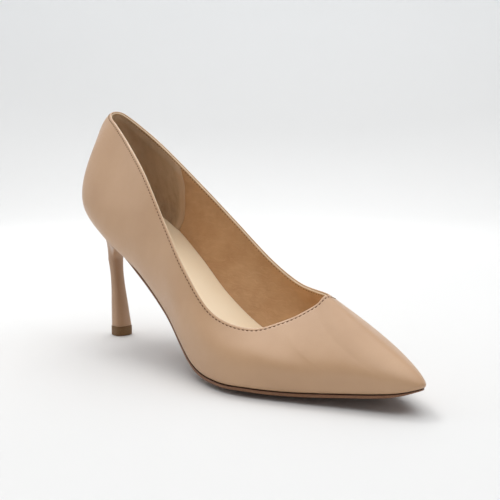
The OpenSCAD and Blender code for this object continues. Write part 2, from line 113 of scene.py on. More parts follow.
def sole_line(x):
    """Height of the sole line in side view."""
    p = SOLE_LINE
    n = len(p)
    x = np.asarray(x, float)
    k = np.clip(np.searchsorted(p[:, 0], x, side="right") - 1, 0, n - 2)

    def slope(i):
        a = np.maximum(i - 1, 0)
        b = np.minimum(i + 1, n - 1)
        return (p[b, 1] - p[a, 1]) / (p[b, 0] - p[a, 0])

    h = p[k + 1, 0] - p[k, 0]
    t = (x - p[k, 0]) / h
    return (
        (2 * t**3 - 3 * t**2 + 1) * p[k, 1]
        + (t**3 - 2 * t**2 + t) * h * slope(k)
        + (3 * t**2 - 2 * t**3) * p[k + 1, 1]
        + (t**3 - t**2) * h * slope(k + 1)
    )


def sole_z(x, y):
    """Height of the sole line anywhere in plan: it bulges down under the ball."""
    bulge = ramp((x - 105) / 40) * ramp((215 - x) / 50) * np.maximum(0, 1 - (y / 38) ** 2)
    return sole_line(x) - CROWN_H * bulge


def over_sole(p, d):
    """Points at the square distance d above the sole line; p is (..., 2 or 3) in plan."""
    x, y = p[..., 0], p[..., 1]
    tilt = np.arctan(sole_line(x - 0.5) - sole_line(x + 0.5))
    return np.stack([x, y, sole_z(x, y) + d / np.cos(tilt)], -1)


def rib_table():
    """One row per rib: sole edge x and y, topline x, y and z, then the two leans and reaches."""

    def row(k, topline, side):
        top = topline[k]
        return [SOLE_EDGE[k, 0], SOLE_EDGE[k, side], top[0], top[1], sole_line(top[0]) + top[2], *RIB_LEAN[k]]

    outer = [row(k, TOPLINE_OUTER, 1) for k in range(TOE_RIB + 1)]
    inner = [row(k, TOPLINE_INNER, 2) for k in range(TOE_RIB - 1, 0, -1)]
    return np.array(outer + inner)


RIB_TABLE = rib_table()

# Below, u counts the ribs round the shoe, from the back of the heel along the outer side to
# the tip and back, and v runs up a rib from the sole edge, 0, to the topline, 1.


def unit(v):
    return v / np.linalg.norm(v, axis=-1, keepdims=True)


def blend_rows(u):
    """Values between the ribs, and how they change along u."""
    u = np.mod(u, RIBS)
    i = np.floor(u).astype(int)
    t = (u - i)[:, None]
    a, b, c, d = [RIB_TABLE[(i + k) % RIBS] for k in (-1, 0, 1, 2)]
    k1, k2, k3 = c - a, 2 * a - 5 * b + 4 * c - d, 3 * b - a - 3 * c + d
    return b + (k1 * t + k2 * t**2 + k3 * t**3) / 2, (k1 + 2 * k2 * t + 3 * k3 * t**2) / 2


def outward(slope):
    """The direction out of the shoe, in plan, for an edge that runs along slope."""
    return unit(np.stack([slope[:, 1], -slope[:, 0]], -1))


def ribs(u):
    """The four control points of each rib, (4, count, 3)."""
    r, s = blend_rows(u)
    out_sole = outward(s[:, 0:2])
    out_top = outward(s[:, 2:4])
    lean_a, lean_b = np.radians(r[:, 5]), np.radians(r[:, 6])
    foot = np.stack([r[:, 0], r[:, 1], sole_z(r[:, 0], r[:, 1])], -1)
    top = r[:, 2:5]
    way_a = np.stack([np.sin(lean_a) * out_sole[:, 0], np.sin(lean_a) * out_sole[:, 1], np.cos(lean_a)], -1)
    way_b = np.stack([np.sin(lean_b) * out_top[:, 0], np.sin(lean_b) * out_top[:, 1], -np.cos(lean_b)], -1)
    return np.stack([foot, foot + r[:, 7:8] * way_a, top + r[:, 8:9] * way_b, top])


def on_rib(c, v):
    """Points at the shares v, (count, m), of the ribs with control points c."""
    c, v = c[:, :, None], v[..., None]
    return (1 - v) ** 3 * c[0] + 3 * v * (1 - v) ** 2 * c[1] + 3 * v**2 * (1 - v) * c[2] + v**3 * c[3]


def rib_slope(c, v):
    """The ribs' upward direction at v, not of unit length."""
    c, v = c[:, :, None], v[..., None]
    return (1 - v) ** 2 * (c[1] - c[0]) + 2 * v * (1 - v) * (c[2] - c[1]) + v**2 * (c[3] - c[2])


def skin_frame(u, v):
    """Point, outward normal and upward direction of the upper's outer face; v is (count, m)."""
    c, ahead, behind = ribs(u), ribs(u + 0.01), ribs(u - 0.01)
    up = unit(rib_slope(c, v))
    normal = unit(np.cross(on_rib(ahead, v) - on_rib(behind, v), up))
    return on_rib(c, v), normal, up


def skin(u, v, depth):
    """Points under the upper's outer face, at a depth."""
    p, n, _ = skin_frame(u, v)
    return p - np.asarray(depth)[..., None] * n


def heights(u, below, above, middle):
    """v of the rows of a fine mesh, (count, m): rows at the distances below from the sole
    edge, then middle rows, then rows at the distances above from the topline, in mm. Also
    the distance of each row from the topline."""
    fine = np.linspace(0, 1, 241)
    p = on_rib(ribs(u), np.broadcast_to(fine, (len(u), fine.size)))
    s = np.concatenate([np.zeros((len(u), 1)), np.cumsum(np.linalg.norm(np.diff(p, axis=1), axis=2), 1)], 1)
    v_rows, d_rows = [], []
    share = np.linspace(0, 1, middle + 2)[1:-1]
    for row in s:
        total = row[-1]
        lo, hi = below[-1], total - above[0]
        at = np.concatenate([below, lo + (hi - lo) * share, total - np.array(above)])
        v_rows.append(np.interp(at, row, fine))
        d_rows.append(total - at)
    return np.array(v_rows), np.array(d_rows)


def lift_to(p, d):
    """Points raised, where they need it, to the distance d over the sole line."""
    floor = over_sole(p, d)[..., 2]
    return np.stack([p[..., 0], p[..., 1], np.maximum(p[..., 2], floor)], -1)


def edge_inset(u, d):
    """The sole edge in plan, drawn in by d."""
    r, s = blend_rows(u)
    return r[:, :2] - np.asarray(d)[..., None] * outward(s[:, 0:2])


def margin_end(u, w):
    """Where the lasting margin, w wide, ends under the sole."""
    e = edge_inset(u, np.zeros(len(u)))
    middle = np.stack([np.clip(e[:, 0], 26, 214), np.zeros(len(u))], -1)
    way = middle - e
    far = np.linalg.norm(way, axis=-1, keepdims=True)
    return e + way / far * np.minimum(w, 0.6 * far)


def from_heel(u):
    """Ribs between u and the back of the heel, the short way round."""
    u = np.mod(u, RIBS)
    return np.minimum(u, RIBS - u)


def stiffening(u, v):
    """How far the stiffener under the upper pushes the lining inwards."""
    near_heel = from_heel(u)[:, None]
    u = np.mod(u, RIBS)[:, None]
    counter = COUNTER_T * ramp((4.6 - near_heel) / 1.2) * ramp((v - 0.04) / 0.16) * ramp((0.82 - v) / 0.2)
    puff = PUFF_T * ramp((2.9 - abs(u - TOE_RIB)) / 1.2) * ramp((v - 0.04) / 0.16) * ramp((0.5 - v) / 0.16)
    return counter + puff


def lining_at(u, v):
    """Depth of the lining's back under the outer face."""
    return TAPE_DEPTH + (LINING_DEPTH - TAPE_DEPTH) * np.minimum(1, (1 - v) / 0.06) + stiffening(u, v)


# The row frame's origin, worked out as in the CAD: the middle of the skin in plan
stations = np.arange(RIBS * 3) / 3
wall_v = np.array([0, 0.05, 0.12, 0.22, 0.34, 0.46, 0.58, 0.7, 0.8, 0.88, 0.94, 1])
cad_skin = on_rib(ribs(stations), np.broadcast_to(wall_v, (len(stations), len(wall_v)))).reshape(-1, 3)
ORIGIN = np.append((cad_skin.min(0) + cad_skin.max(0))[:2] / 2, 0)

# ---- meshes ----------------------------------------------------------------------------


def add_piece(name, verts, faces, material, replaces, uv=None, masks=None):
    """A smooth mesh piece from points in the drawing frame, riding on the shoe."""
    mesh = bpy.data.meshes.new(name)
    mesh.from_pydata(((np.asarray(verts) - ORIGIN) / 1000).tolist(), [], [list(f) for f in faces])
    if uv is not None:
        layer = mesh.uv_layers.new(name="seam")
        layer.data.foreach_set("uv", np.asarray(uv, np.float32).ravel())
    for key, values in (masks or {}).items():
        mask = mesh.attributes.new(key, "FLOAT", "POINT")
        mask.data.foreach_set("value", np.asarray(values, np.float32).ravel())
    bm = bmesh.new()
    bm.from_mesh(mesh)
    bmesh.ops.recalc_face_normals(bm, faces=bm.faces)
    bm.to_mesh(mesh)
    bm.free()
    mesh.shade_smooth()
    obj = bpy.data.objects.new(name, mesh)
    bpy.context.scene.collection.objects.link(obj)
    mesh.materials.append(material)
    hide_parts(replaces)
    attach(obj, "root")


def grid_faces(n, m, wrap_n, wrap_m):
    """Quads of an n by m grid of points, closed in either direction on request."""
    i = np.arange(n if wrap_n else n - 1)
    j = np.arange(m if wrap_m else m - 1)
    a, b = np.meshgrid(i, j, indexing="ij")
    c, d = (a + 1) % n, (b + 1) % m
    return np.stack([a * m + b, c * m + b, c * m + d, a * m + d], -1).reshape(-1, 4).tolist()


def grid_uv(along, across, n, m, wrap_n, wrap_m):
    """Corner UVs of grid_faces; along has n + 1 values where the grid is closed."""
    i = np.arange(n if wrap_n else n - 1)
    j = np.arange(m if wrap_m else m - 1)
    a, b = np.meshgrid(i, j, indexing="ij")
    d = (b + 1) % m
    first = np.stack([along[a], along[a + 1], along[a + 1], along[a]], -1)
    second = np.stack([across[a, b], across[(a + 1) % n, b], across[(a + 1) % n, d], across[a, d]], -1)
    return np.stack([first, second], -1).reshape(-1, 2)


def ring_caps(n, m):
    """Flat faces on the first and last ring of an open grid of n rings."""
    return [list(range(m)), [(n - 1) * m + j for j in range(m)]]


def half_round(centre, side, up, radius, count):
    """Points of a half circle from +side over up to -side, (stations, count, 3)."""
    t = np.linspace(0, math.pi, count + 2)[1:-1][None, :, None]
    return centre[:, None] + radius * (np.cos(t) * side[:, None] + np.sin(t) * up[:, None])


def topline_line(inset, count=2640):
    """The closed line on the skin at a distance from the topline: u of its points, their
    distance along it from the back, the points themselves and the skin's normals there."""
    u = np.arange(count) * RIBS / count
    fine = np.linspace(0.6, 1, 161)
    p = on_rib(ribs(u), np.broadcast_to(fine, (count, fine.size)))
    step = np.linalg.norm(np.diff(p, axis=1), axis=2)
    from_top = np.concatenate([np.cumsum(step[:, ::-1], 1)[:, ::-1], np.zeros((count, 1))], 1)
    v = np.array([np.interp(-inset, -row, fine) for row in from_top])
    q, n, _ = skin_frame(u, v[:, None])
    q, n = q[:, 0], n[:, 0]
    length = np.concatenate([[0], np.cumsum(np.linalg.norm(np.diff(np.vstack([q, q[:1]]), axis=0), axis=1))])
    return u, length, q, n


# ---- materials -------------------------------------------------------------------------


class Shader:
    """Short hand for building one node material. Lengths in its textures are in mm."""

    def __init__(self, name):
        self.mat = bpy.data.materials.new(name)
        self.mat.use_nodes = True
        self.tree = self.mat.node_tree
        self.tree.nodes.clear()
        self.out = self.tree.nodes.new("ShaderNodeOutputMaterial")
        self.bsdf = self.tree.nodes.new("ShaderNodeBsdfPrincipled")
        self.tree.links.new(self.bsdf.outputs[0], self.out.inputs[0])
        coords = self.tree.nodes.new("ShaderNodeTexCoord")
        scale = self.tree.nodes.new("ShaderNodeVectorMath")
        scale.operation = "SCALE"
        scale.inputs["Scale"].default_value = 1000
        self.tree.links.new(coords.outputs["Object"], scale.inputs[0])
        self.mm = scale.outputs[0]

    def put(self, socket, value):
        if isinstance(value, bpy.types.NodeSocket):
            self.tree.links.new(value, socket)
        elif value is not None:
            socket.default_value = value

    def node(self, kind, inputs, output=0, **settings):
        n = self.tree.nodes.new(kind)
        for key, value in settings.items():
            setattr(n, key, value)
        for key, value in inputs.items():
            self.put(n.inputs[key], value)
        return n.outputs[output]

    def noise(self, size, detail=2, rough=0.5, where=None, distortion=0.0):
        return self.node(
            "ShaderNodeTexNoise",
            {"Vector": where or self.mm, "Scale": 1 / size, "Detail": detail, "Roughness": rough,
             "Distortion": distortion},
        )

    def cells(self, size, feature="F1", where=None):
        return self.node(
            "ShaderNodeTexVoronoi", {"Vector": where or self.mm, "Scale": 1 / size}, feature=feature
        )

    def math(self, operation, *values):
        return self.node("ShaderNodeMath", dict(enumerate(values)), operation=operation)

    def remap(self, value, a, b, c, d, smooth=False):
        return self.node(
            "ShaderNodeMapRange",
            {"Value": value, "From Min": a, "From Max": b, "To Min": c, "To Max": d},
            interpolation_type="SMOOTHSTEP" if smooth else "LINEAR",
        )

    def mix(self, share, a, b, blend="MIX"):
        n = self.tree.nodes.new("ShaderNodeMix")
        n.data_type = "RGBA"
        n.blend_type = blend
        self.put(n.inputs[0], share)
        for i, value in ((6, a), (7, b)):
            self.put(n.inputs[i], (*value, 1) if isinstance(value, tuple) else value)
        return n.outputs[2]

    def stretched(self, x, y, z):
        return self.node("ShaderNodeVectorMath", {0: self.mm, 1: (x, y, z)}, operation="MULTIPLY")

    def bump(self, height, depth_mm, normal=None):
        return self.node(
            "ShaderNodeBump",
            {"Height": height, "Distance": depth_mm / 1000, "Strength": 1, "Normal": normal},
        )

    def attribute(self, name):
        return self.node("ShaderNodeAttribute", {}, output=2, attribute_name=name)

    def set(self, **values):
        names = {
            "color": "Base Color", "rough": "Roughness", "normal": "Normal", "metal": "Metallic",
            "sheen": "Sheen Weight", "sheen_rough": "Sheen Roughness", "sheen_tint": "Sheen Tint",
            "coat": "Coat Weight", "coat_rough": "Coat Roughness", "spec": "Specular IOR Level",
        }
        for key, value in values.items():
            rgba = (*value, 1) if isinstance(value, tuple) else value
            self.put(self.bsdf.inputs[names[key]], rgba)
        return self.mat


def srgb(r, g, b):
    """A colour's linear values from its display values, 0 to 255."""
    return tuple(((c / 255 + 0.055) / 1.055) ** 2.4 if c > 10 else c / 255 / 12.92 for c in (r, g, b))


def smooth_leather(name, base, dark, light, seam=False):
    s = Shader(name)
    clouds = s.noise(34, 3, 0.55)
    patches = s.noise(7, 3, 0.6)
    tone = s.mix(s.remap(clouds, 0.3, 0.7, 0, 1), dark, light)
    tone = s.mix(s.remap(patches, 0.35, 0.65, 0.25, 0.0), tone, base)
    color = s.mix(0.55, tone, base)
    pebble = s.cells(0.75, "DISTANCE_TO_EDGE", s.node(
        "ShaderNodeVectorMath", {0: s.mm, 1: s.noise(1.6, 1)}, operation="ADD"))
    creases = s.remap(pebble, 0, 0.14, 0, 1, True)
    pores = s.remap(s.cells(0.42), 0.0, 0.3, 0, 1, True)
    color = s.mix(s.remap(creases, 0, 1, 0.10, 0), color, dark)
    normal = s.bump(creases, 0.012)
    normal = s.bump(pores, 0.006, normal=normal)
    normal = s.bump(s.noise(5, 2), 0.05, normal=normal)
    rough = s.remap(s.noise(2.4, 3), 0.3, 0.7, 0.34, 0.44)
    if seam:
        uv = s.node("ShaderNodeUVMap", {}, uv_map="seam")
        parts = s.node("ShaderNodeSeparateXYZ", {0: uv}, output=0)
        xyz = parts.node
        along, down = xyz.outputs[0], xyz.outputs[1]
        cell = s.math("FRACT", along)
        side = s.math("ABSOLUTE", s.math("SUBTRACT", cell, 0.5))
        hole_x = s.math("MULTIPLY", s.math("SUBTRACT", side, STITCH_L / STITCH_PITCH / 2), STITCH_PITCH)
        hole_y = s.math("SUBTRACT", down, STITCH_INSET)
        far = s.math("SQRT", s.math("ADD", s.math("POWER", hole_x, 2), s.math("POWER", hole_y, 2)))
        hole = s.remap(far, 0.08, 0.26, 1, 0, True)
        normal = s.bump(s.math("SUBTRACT", 1, hole), 0.12, normal=normal)
        color = s.mix(s.math("MULTIPLY", hole, 0.7), color, srgb(96, 62, 36))
        # painted shade: the leather is darkened in a band along the stitched row, where the stitches draw it
        # into a groove
        line = s.remap(s.math("ABSOLUTE", hole_y), 0.15, 0.5, 0.08, 0, True)
        color = s.mix(line, color, dark)
    return s.set(color=color, rough=rough, normal=normal, spec=0.6, sheen=0.06, sheen_rough=0.4)


def lining_leather(name, base, dark, light, edge):
    s = Shader(name)
    clouds = s.noise(22, 4, 0.6)
    color = s.mix(s.remap(clouds, 0.3, 0.7, 0, 1), dark, light)
    color = s.mix(0.45, color, base)
    wrinkle = s.noise(3.2, 4, 0.6, where=s.stretched(0.35, 1, 1), distortion=0.8)
    # painted highlight: the crests of the wrinkles are painted towards the light colour
    color = s.mix(s.remap(wrinkle, 0.52, 0.75, 0, 0.5), color, light)
    fine = s.noise(0.55, 3, 0.6)
    pores = s.remap(s.cells(0.5), 0.0, 0.28, 0, 1, True)
    color = s.mix(s.remap(fine, 0.35, 0.65, 0.14, 0), color, dark)
    cut = s.attribute("cut")
    raw = s.mix(s.noise(0.4, 2), edge, tuple(c * 0.82 for c in edge))
    color = s.mix(s.remap(cut, 0.2, 0.8, 0, 1, True), color, raw)
    normal = s.bump(wrinkle, 0.3)
    normal = s.bump(fine, 0.02, normal=normal)
    normal = s.bump(pores, 0.01, normal=normal)
    return s.set(color=color, rough=s.remap(fine, 0.3, 0.7, 0.5, 0.66), normal=normal, spec=0.35, sheen=0.1)


def suede(name, base, dark, light):
    s = Shader(name)
    nap = s.noise(0.32, 4, 0.7)
    streaks = s.noise(4.5, 4, 0.65, where=s.stretched(1, 1, 0.45), distortion=0.5)
    brushed = s.noise(15, 3, 0.55)
    color = s.mix(s.remap(streaks, 0.32, 0.68, 0, 1), dark, light)
    color = s.mix(s.remap(brushed, 0.3, 0.7, 0.2, 0.6), color, base)
    color = s.mix(s.remap(nap, 0.3, 0.7, 0.3, 0), color, dark)
    # painted highlight: the suede is mixed towards its light colour higher up the wall, so the top of the
    # grip is painted lighter where light falls
    height = s.node("ShaderNodeSeparateXYZ", {0: s.mm}, output=2)
    color = s.mix(s.remap(height, 70, 108, 0, 0.6, True), color, light)
    # painted highlight: the suede is mixed towards its light colour along its front edge, from the cut mask
    color = s.mix(s.remap(s.attribute("cut"), 0.05, 0.8, 0, 0.9, True), color, light)
    normal = s.bump(nap, 0.12)
    normal = s.bump(streaks, 0.1, normal=normal)
    return s.set(color=color, rough=0.92, normal=normal, spec=0.12, sheen=0.5, sheen_rough=0.45,
                 sheen_tint=tuple(min(1, c * 1.8) for c in light))


def rubber(name, base, dark, light, size, rough, depth):
    s = Shader(name)
    specks = s.noise(size, 3, 0.65)
    patch = s.noise(6, 3)
    color = s.mix(s.remap(specks, 0.35, 0.65, 0, 1), dark, light)
    color = s.mix(s.remap(patch, 0.3, 0.7, 0.3, 0.75), color, base)
    cut = s.attribute("cut")
    # painted shade: where the cut mask is set, along the crease under the upper, the rubber is painted dark
    crease_shade = s.mix(s.noise(0.8, 3), dark, tuple(c * 0.6 for c in dark))
    color = s.mix(s.remap(cut, 0.15, 0.85, 0, 1, True), color, crease_shade)
    lines = s.noise(0.5, 2, where=s.stretched(0.12, 0.12, 1))
    normal = s.bump(specks, depth)
    normal = s.bump(lines, depth, normal=normal)
    rough = s.remap(patch, 0.3, 0.7, rough - 0.07, rough + 0.07)
    return s.set(color=color, rough=rough, normal=normal, spec=0.4)


def thread(name, base, dark):
    s = Shader(name)
    uv = s.node("ShaderNodeUVMap", {}, uv_map="seam")
    twist = s.node("ShaderNodeTexWave", {"Vector": uv, "Scale": 1.6, "Distortion": 0.0}, output=1,
                   wave_type="BANDS", bands_direction="DIAGONAL")
    color = s.mix(twist, dark, base)
    color = s.mix(s.remap(s.noise(0.2, 2), 0.3, 0.7, 0.3, 0), color, dark)
    return s.set(color=color, rough=0.7, normal=s.bump(twist, 0.05), spec=0.2)


def steel(name, base, streak):
    s = Shader(name)
    lines = s.noise(0.25, 3, 0.6, where=s.stretched(0.06, 1, 1))
    color = s.mix(s.remap(lines, 0.3, 0.7, 0, 1), tuple(c * 0.82 for c in base), base)
    return s.set(color=color, metal=1.0, rough=s.remap(lines, 0.3, 0.7, 0.28, 0.28 + streak),
                 normal=s.bump(lines, 0.01))


def board(name, base, dark, size, rough=0.85, depth=0.05):
    s = Shader(name)
    fibres = s.noise(size, 4, 0.65, where=s.stretched(0.3, 1, 1), distortion=0.6)
    flecks = s.cells(size * 2.5)
    color = s.mix(s.remap(fibres, 0.3, 0.7, 0, 1), dark, base)
    color = s.mix(s.remap(flecks, 0.0, 0.2, 0.3, 0), color, dark)
    return s.set(color=color, rough=rough, normal=s.bump(fibres, depth), spec=0.2)


NUDE, NUDE_DARK, NUDE_LIGHT = srgb(195, 156, 120), srgb(182, 142, 106), srgb(206, 168, 132)
upper_mat = smooth_leather("upper_leather", NUDE, NUDE_DARK, NUDE_LIGHT, seam=True)
# heel cover: the upper's leather with darker colours, painted shade for the heel's place in the shadow under
# the counter and the waist
heel_mat = smooth_leather("heel_leather", srgb(178, 140, 108), srgb(164, 126, 96), srgb(188, 151, 118))
lining_mat = lining_leather("lining_leather", srgb(203, 160, 115), srgb(178, 135, 92), srgb(219, 180, 137),
                            srgb(238, 214, 180))
grip_mat = suede("grip_suede", srgb(164, 136, 108), srgb(140, 114, 88), srgb(204, 176, 146))
sock_mat = smooth_leather("sock_leather", srgb(253, 234, 202), srgb(248, 225, 191), srgb(254, 240, 212))
outsole_mat = rubber("outsole_rubber", srgb(132, 92, 64), srgb(96, 62, 42), srgb(152, 110, 80),
                     size=0.5, rough=0.5, depth=0.02)
lift_mat = rubber("lift_rubber", srgb(118, 86, 50), srgb(88, 62, 36), srgb(146, 110, 68),
                  size=0.4, rough=0.55, depth=0.04)
thread_mat = thread("seam_thread", srgb(116, 66, 28), srgb(72, 38, 12))

# ---- upper -----------------------------------------------------------------------------

per_rib = 22
around = np.arange(RIBS * per_rib) / per_rib
count = len(around)
fold_r = UPPER_T / 2
foot_r = 1.5
# distances of the mesh rows from the sole edge and, closer at the stitching, from the topline
from_sole = np.array([foot_r, 2.1, 3.0, 4.2, 6])
from_top = np.array([8, 6, 4.6, 3.6, 2.9, 2.3, 1.9, 1.65, 1.45, 1.3, 1.2, 1.1, 1.0, 0.9, 0.75, 0.55, 0.3, 0])

# the stitches draw the leather in along their row, and the folded edge stands proud of it
row_dip, row_half, edge_swell, edge_middle, edge_half = 0.09, 0.3, 0.05, 0.45, 0.35
v_outer, top_gap = heights(around, from_sole, from_top, 40)
groove = row_dip * np.exp(-(((top_gap - STITCH_INSET) / row_half) ** 2))
groove -= edge_swell * np.exp(-(((top_gap - edge_middle) / edge_half) ** 2))
outer = skin(around, v_outer, groove)
tip, tip_n, tip_up = skin_frame(around, np.ones((count, 1)))
rim = half_round(tip[:, 0] - fold_r * tip_n[:, 0], tip_n[:, 0], tip_up[:, 0], fold_r, 9)
v_inner = heights(around, np.array([0.01, 3]), np.array([0.0]), 14)[0][:, ::-1]
inner = lift_to(skin(around, v_inner, np.full(v_inner.shape, UPPER_T)), UPPER_T / 2)
near_end, far_end = margin_end(around, 3.0), margin_end(around, MARGIN_W)
corner = skin_frame(around, np.zeros((count, 1)))[0][:, 0]
under = unit(over_sole(near_end, 0) - corner)
t = np.linspace(0, 1, 9)[None, :, None]
foot_in, foot_out = corner + foot_r * under, outer[:, 0]
foot_arc = (1 - t) ** 2 * foot_in[:, None] + 2 * t * (1 - t) * corner[:, None] + t**2 * foot_out[:, None]
foot_arc = foot_arc[:, :-1]
below = np.stack([
    over_sole(near_end, UPPER_T), over_sole(far_end, UPPER_T), over_sole(far_end, 0), over_sole(near_end, 0)
], 1)
ring = np.concatenate([outer, rim, inner, below, foot_arc], 1)
rows = ring.shape[1]

line_u, line_s, line_p, line_n = topline_line(STITCH_INSET)
stitch_count = round(line_s[-1] / STITCH_PITCH)
pitch = line_s[-1] / stitch_count
u_of = np.append(line_u, RIBS)
along = np.interp(np.append(around, RIBS), u_of, line_s) / pitch
# the seam map: stitches along, mm from the topline across; 30 where no seam is near
outer_rows = top_gap.shape[1]
across = np.concatenate([top_gap, np.full((count, rows - outer_rows), 30.0)], 1)
across[:, outer_rows:outer_rows + 5] = 0
uv = grid_uv(along, across, count, rows, True, True)
add_piece("upper_leather", ring.reshape(-1, 3), grid_faces(count, rows, True, True), upper_mat,
          "upper", uv)

# ---- topline stitching -----------------------------------------------------------------

closed_p = np.vstack([line_p, line_p[:1]])
closed_n = np.vstack([line_n, line_n[:1]])


def on_line(s):
    """Point and normal on the stitching line at a distance along it."""
    s = np.mod(s, line_s[-1])
    p = np.stack([np.interp(s, line_s, closed_p[:, k]) for k in range(3)], -1)
    n = np.stack([np.interp(s, line_s, closed_n[:, k]) for k in range(3)], -1)
    return p, unit(n)


stitch_verts, stitch_faces, stitch_uv = [], [], []
sides, steps = 8, 9
turn_t = np.arange(sides) * 2 * math.pi / sides
turn_x, turn_y = np.cos(turn_t)[None, :, None], np.sin(turn_t)[None, :, None]
q = np.linspace(-1, 1, steps)
a, b = np.meshgrid(np.arange(steps - 1), np.arange(sides), indexing="ij")
first = np.stack([a, a + 1, a + 1, a], -1) / (steps - 1) * STITCH_L
second = np.stack([b, b, b + 1, b + 1], -1) / sides * 1.4
# needle thread on the outside, then bobbin thread on the face of the lining
lining_face_depth = TAPE_DEPTH + LINING_T + 0.18
for facing, depth, thread_r in ((1, 0.0, THREAD_R), (-1, lining_face_depth, 0.8 * THREAD_R)):
    for k in range(stitch_count):
        centre_s = (k + 0.5) * pitch
        p, n = on_line(centre_s + q * STITCH_L / 2)
        ahead, _ = on_line(centre_s + q * STITCH_L / 2 + 0.05)
        way = unit(ahead - p)
        out = n * facing
        side = unit(np.cross(out, way))
        dip = 0.02 - 0.34 * np.abs(q) ** 4
        mid = p - n * depth + out * dip[:, None]
        r = thread_r * (1 - 0.55 * np.abs(q) ** 6)
        round_it = turn_x * side[:, None] + turn_y * out[:, None] * 0.85
        loop = mid[:, None] + r[:, None, None] * round_it
        base = len(stitch_verts)
        stitch_verts.extend(loop.reshape(-1, 3))
        stitch_faces.extend([i + base for i in f] for f in grid_faces(steps, sides, False, True))
        stitch_faces.extend([i + base for i in f] for f in ring_caps(steps, sides))
        stitch_uv.append(np.stack([first, second], -1).reshape(-1, 2))
        stitch_uv.append(np.zeros((2 * sides, 2)))
add_piece("topline_stitches", stitch_verts, stitch_faces, thread_mat, "topline_thread",
          np.concatenate(stitch_uv))

# ---- lining ----------------------------------------------------------------------------

per_rib = 16
around = np.arange(RIBS * per_rib) / per_rib
count = len(around)
from_sole = np.array([0.01, 2.5])
v_up = heights(around, from_sole, np.array([4, 1.5, 0.15]), 24)[0]
v_down = heights(around, from_sole, np.array([6, 3.5, 2, 1, 0.5, 0.25]), 44)[0][:, ::-1]
lining_back = lift_to(skin(around, v_up, lining_at(around, v_up)), LINING_MARGIN_Z)
lining_face = lift_to(skin(around, v_down, lining_at(around, v_down) + LINING_T), LINING_MARGIN_Z + LINING_T)
tip, tip_n, tip_up = skin_frame(around, np.ones((count, 1)))
tip, tip_n, tip_up = tip[:, 0], tip_n[:, 0], tip_up[:, 0]
# depth and height over the topline of the lining's bare edge
cut_at = [(TAPE_DEPTH + 0.02, 0.3), (TAPE_DEPTH + 0.2, 0.36), (TAPE_DEPTH + LINING_T - 0.15, 0.3),
          (TAPE_DEPTH + LINING_T, 0.1)]
lining_cut = np.stack([tip - d * tip_n + h * tip_up for d, h in cut_at], 1)
end = margin_end(around, MARGIN_W)
lining_under = np.stack([over_sole(end, LINING_MARGIN_Z + LINING_T), over_sole(end, LINING_MARGIN_Z)], 1)
ring = np.concatenate([lining_back, lining_cut, lining_face, lining_under], 1)
rows = ring.shape[1]
cut = np.zeros((count, rows))
first_cut = v_up.shape[1] - 1
cut[:, first_cut:first_cut + 1 + len(cut_at)] = 1
add_piece("lining_leather", ring.reshape(-1, 3), grid_faces(count, rows, True, True), lining_mat, "lining",
          masks={"cut": cut})

# ---- heel grip -------------------------------------------------------------------------

# the front edge of the suede, as height up the wall and ribs from the back
grip_v = np.array([0.06, 0.27, 0.6, 0.83, 1.0])
grip_u = np.array([3.02, 3.17, 3.38, 3.46, 3.42])
across_n = 150
side_share = np.linspace(-1, 1, across_n)
# finer towards both front edges, where the suede is skived down
side_share = np.sign(side_share) * (1 - (1 - np.abs(side_share)) ** 1.5)
v_rows = np.concatenate([np.linspace(0.06, 0.9, 44), [0.925, 0.95, 0.965, 0.975, 0.982]])
half = np.interp(v_rows, grip_v, grip_u)
wall_tall = 62
grip_z = LINING_MARGIN_Z + LINING_T + 0.2
face_pts, back_pts, edge_highlight_mask = [], [], []
for v, h in zip(v_rows, half):
    u = side_share * h
    vv = np.full((across_n, 1), v)
    p, n, _ = skin_frame(u, vv)
    rib_gap = np.interp(v, [0, 1], [9.0, 7.5])
    to_front = (1 - np.abs(side_share)) * h * rib_gap
    to_top = (1 - v) * wall_tall
    front = np.sqrt(np.clip(1 - (1 - np.clip(to_front / 1.1, 0, 1)) ** 2, 0, 1))
    lip = 0.22 * np.exp(-(((to_front - 1.0) / 0.8) ** 2))
    top = np.clip((to_top - 1.0) / 5, 0.25, 1)
    thick = (GRIP_T * top * (0.12 + 0.88 * front)) + lip * top
    depth = lining_at(u, vv)[:, 0] + LINING_T + 0.06
    back_pts.append(p[:, 0] - depth[:, None] * n[:, 0])
    face_pts.append(p[:, 0] - (depth + thick)[:, None] * n[:, 0])
    # painted highlight: a mask, stored as cut, that paints the suede lighter along its front edge
    edge_highlight_mask.append(np.exp(-((to_front / 1.3) ** 2)))
face_pts, back_pts, edge_highlight_mask = np.array(face_pts), np.array(back_pts), np.array(edge_highlight_mask)
face_pts, back_pts = lift_to(face_pts, grip_z), lift_to(back_pts, grip_z)
ring = np.concatenate([face_pts, back_pts[:, ::-1]], 1)
mask = np.concatenate([edge_highlight_mask, edge_highlight_mask[:, ::-1]], 1)
n_rows = len(v_rows)
faces = grid_faces(n_rows, 2 * across_n, False, True)
for r in (0, n_rows - 1):
    b = r * 2 * across_n
    last = b + 2 * across_n - 1
    faces += [[b + j, b + j + 1, last - 1 - j, last - j] for j in range(across_n - 1)]
add_piece("heel_grip_suede", ring.reshape(-1, 3), faces, grip_mat, "heel_grip", masks={"cut": mask})

# ---- sock lining -----------------------------------------------------------------------


def wall_foot(u, height):
    """Where the inside of the wall stands at a height above the sole line, in plan."""
    v = np.broadcast_to(np.linspace(0.0, 0.3, 61), (len(u), 61))
    grip = (from_heel(u) < 3.05)[:, None] * (GRIP_T * 0.9)
    p = skin(u, v, lining_at(u, v) + LINING_T + grip)
    over = p[..., 2] - over_sole(p, 0)[..., 2]
    return np.array([[np.interp(height, over[i], p[i, :, k]) for k in (0, 1)] for i in range(len(u))])


